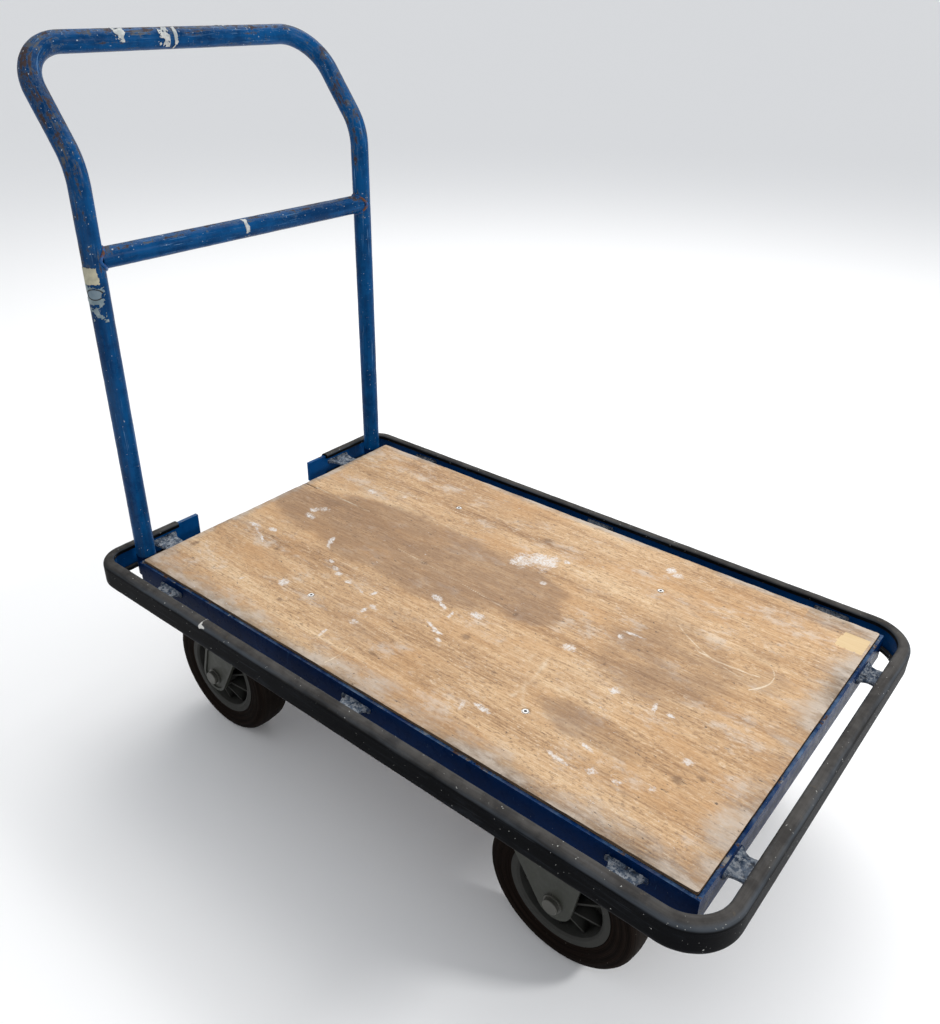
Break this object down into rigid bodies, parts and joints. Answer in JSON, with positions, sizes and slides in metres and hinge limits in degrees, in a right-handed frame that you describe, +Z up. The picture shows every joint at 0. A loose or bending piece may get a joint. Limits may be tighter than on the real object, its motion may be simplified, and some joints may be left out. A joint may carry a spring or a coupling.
{
  "type": "platform cart",
  "caption": "Flat platform cart with a plywood deck, a wrap-round rubber bumper, a plug-in tubular push handle, fixed casters at the front and swivel casters at the handle end.",
  "frame": {"origin": "middle of the overall box, at floor level", "axes": "+X points forwards, away from the push handle; +Y is the left side for a person pushing; +Z is up"},
  "size_m": [1.0424, 0.5934, 0.9543],
  "materials": {
    "plywood": "worn film-faced plywood",
    "screw_steel": "tarnished",
    "frame_paint": "worn gloss paint",
    "bar_paint": "worn gloss paint",
    "bumper_rubber": "dusty",
    "bracket_steel": "weathered zinc, rusty welds",
    "zinc_steel": "zinc plated",
    "socket_paint": "worn paint",
    "handle_paint": "worn gloss paint",
    "tyre_rubber": "worn rubber",
    "rim_plastic": "moulded plastic",
    "bearing_steel": "greased",
    "fork_steel": "dull zinc"
  },
  "bodies": {
    "chassis": {"deck_board": "plywood", "deck_screws": "screw_steel", "frame_side_left": "frame_paint", "frame_side_right": "frame_paint", "frame_end_front": "frame_paint", "frame_end_rear": "frame_paint", "cross_member_1": "frame_paint", "cross_member_2": "frame_paint", "cross_member_3": "frame_paint", "cross_member_4": "frame_paint", "caster_pads_front": "frame_paint", "caster_pads_rear": "frame_paint", "bumper_bar": "bar_paint", "bumper_rubber": "bumper_rubber", "bumper_brackets_front": "bracket_steel", "bumper_brackets_rear": "bracket_steel", "bumper_brackets_left": "bracket_steel", "bumper_brackets_right": "bracket_steel", "caster_bolts": "zinc_steel", "caster_nuts": "zinc_steel", "handle_socket_left": "socket_paint", "handle_socket_right": "socket_paint", "rigid_fork_left": "fork_steel", "swivel_plate_left": "fork_steel", "swivel_kingpin_left": "zinc_steel", "axle_bolt_front_left": "zinc_steel", "axle_nut_front_left": "zinc_steel", "axle_spacer_front_left": "bearing_steel", "rigid_fork_right": "fork_steel", "swivel_plate_right": "fork_steel", "swivel_kingpin_right": "zinc_steel", "axle_bolt_front_right": "zinc_steel", "axle_nut_front_right": "zinc_steel", "axle_spacer_front_right": "bearing_steel"},
    "handle": {"handle_tube": "handle_paint", "handle_crossbar": "handle_paint"},
    "swivel_left": {"swivel_fork_left": "fork_steel", "swivel_balls_left": "bearing_steel", "axle_bolt_rear_left": "zinc_steel", "axle_nut_rear_left": "zinc_steel", "axle_spacer_rear_left": "bearing_steel"},
    "swivel_right": {"swivel_fork_right": "fork_steel", "swivel_balls_right": "bearing_steel", "axle_bolt_rear_right": "zinc_steel", "axle_nut_rear_right": "zinc_steel", "axle_spacer_rear_right": "bearing_steel"},
    "wheel_front_left": {"tyre_front_left": "tyre_rubber", "rim_front_left": "rim_plastic", "wheel_bearing_front_left": "bearing_steel"},
    "wheel_front_right": {"tyre_front_right": "tyre_rubber", "rim_front_right": "rim_plastic", "wheel_bearing_front_right": "bearing_steel"},
    "wheel_rear_left": {"tyre_rear_left": "tyre_rubber", "rim_rear_left": "rim_plastic", "wheel_bearing_rear_left": "bearing_steel"},
    "wheel_rear_right": {"tyre_rear_right": "tyre_rubber", "rim_rear_right": "rim_plastic", "wheel_bearing_rear_right": "bearing_steel"}
  },
  "joints": [
    {"name": "handle_lift", "type": "slide", "parent": "chassis", "child": "handle", "axis": [0, 0, 1], "range_m": [0, 0.07]},
    {"name": "swivel_left_turn", "type": "hinge", "parent": "chassis", "child": "swivel_left", "pos_m": [-0.23977, 0.194, 0.2], "axis": [0, 0, 1], "continuous": true},
    {"name": "swivel_right_turn", "type": "hinge", "parent": "chassis", "child": "swivel_right", "pos_m": [-0.23977, -0.194, 0.2], "axis": [0, 0, 1], "continuous": true},
    {"name": "wheel_front_left_spin", "type": "hinge", "parent": "chassis", "child": "wheel_front_left", "pos_m": [0.31523, 0.194, 0.1], "axis": [0, 1, 0], "continuous": true},
    {"name": "wheel_front_right_spin", "type": "hinge", "parent": "chassis", "child": "wheel_front_right", "pos_m": [0.31523, -0.194, 0.1], "axis": [0, 1, 0], "continuous": true},
    {"name": "wheel_rear_left_spin", "type": "hinge", "parent": "swivel_left", "child": "wheel_rear_left", "pos_m": [-0.29177, 0.194, 0.1], "axis": [0, 1, 0], "continuous": true},
    {"name": "wheel_rear_right_spin", "type": "hinge", "parent": "swivel_right", "child": "wheel_rear_right", "pos_m": [-0.29177, -0.194, 0.1], "axis": [0, 1, 0], "continuous": true}
  ]
}
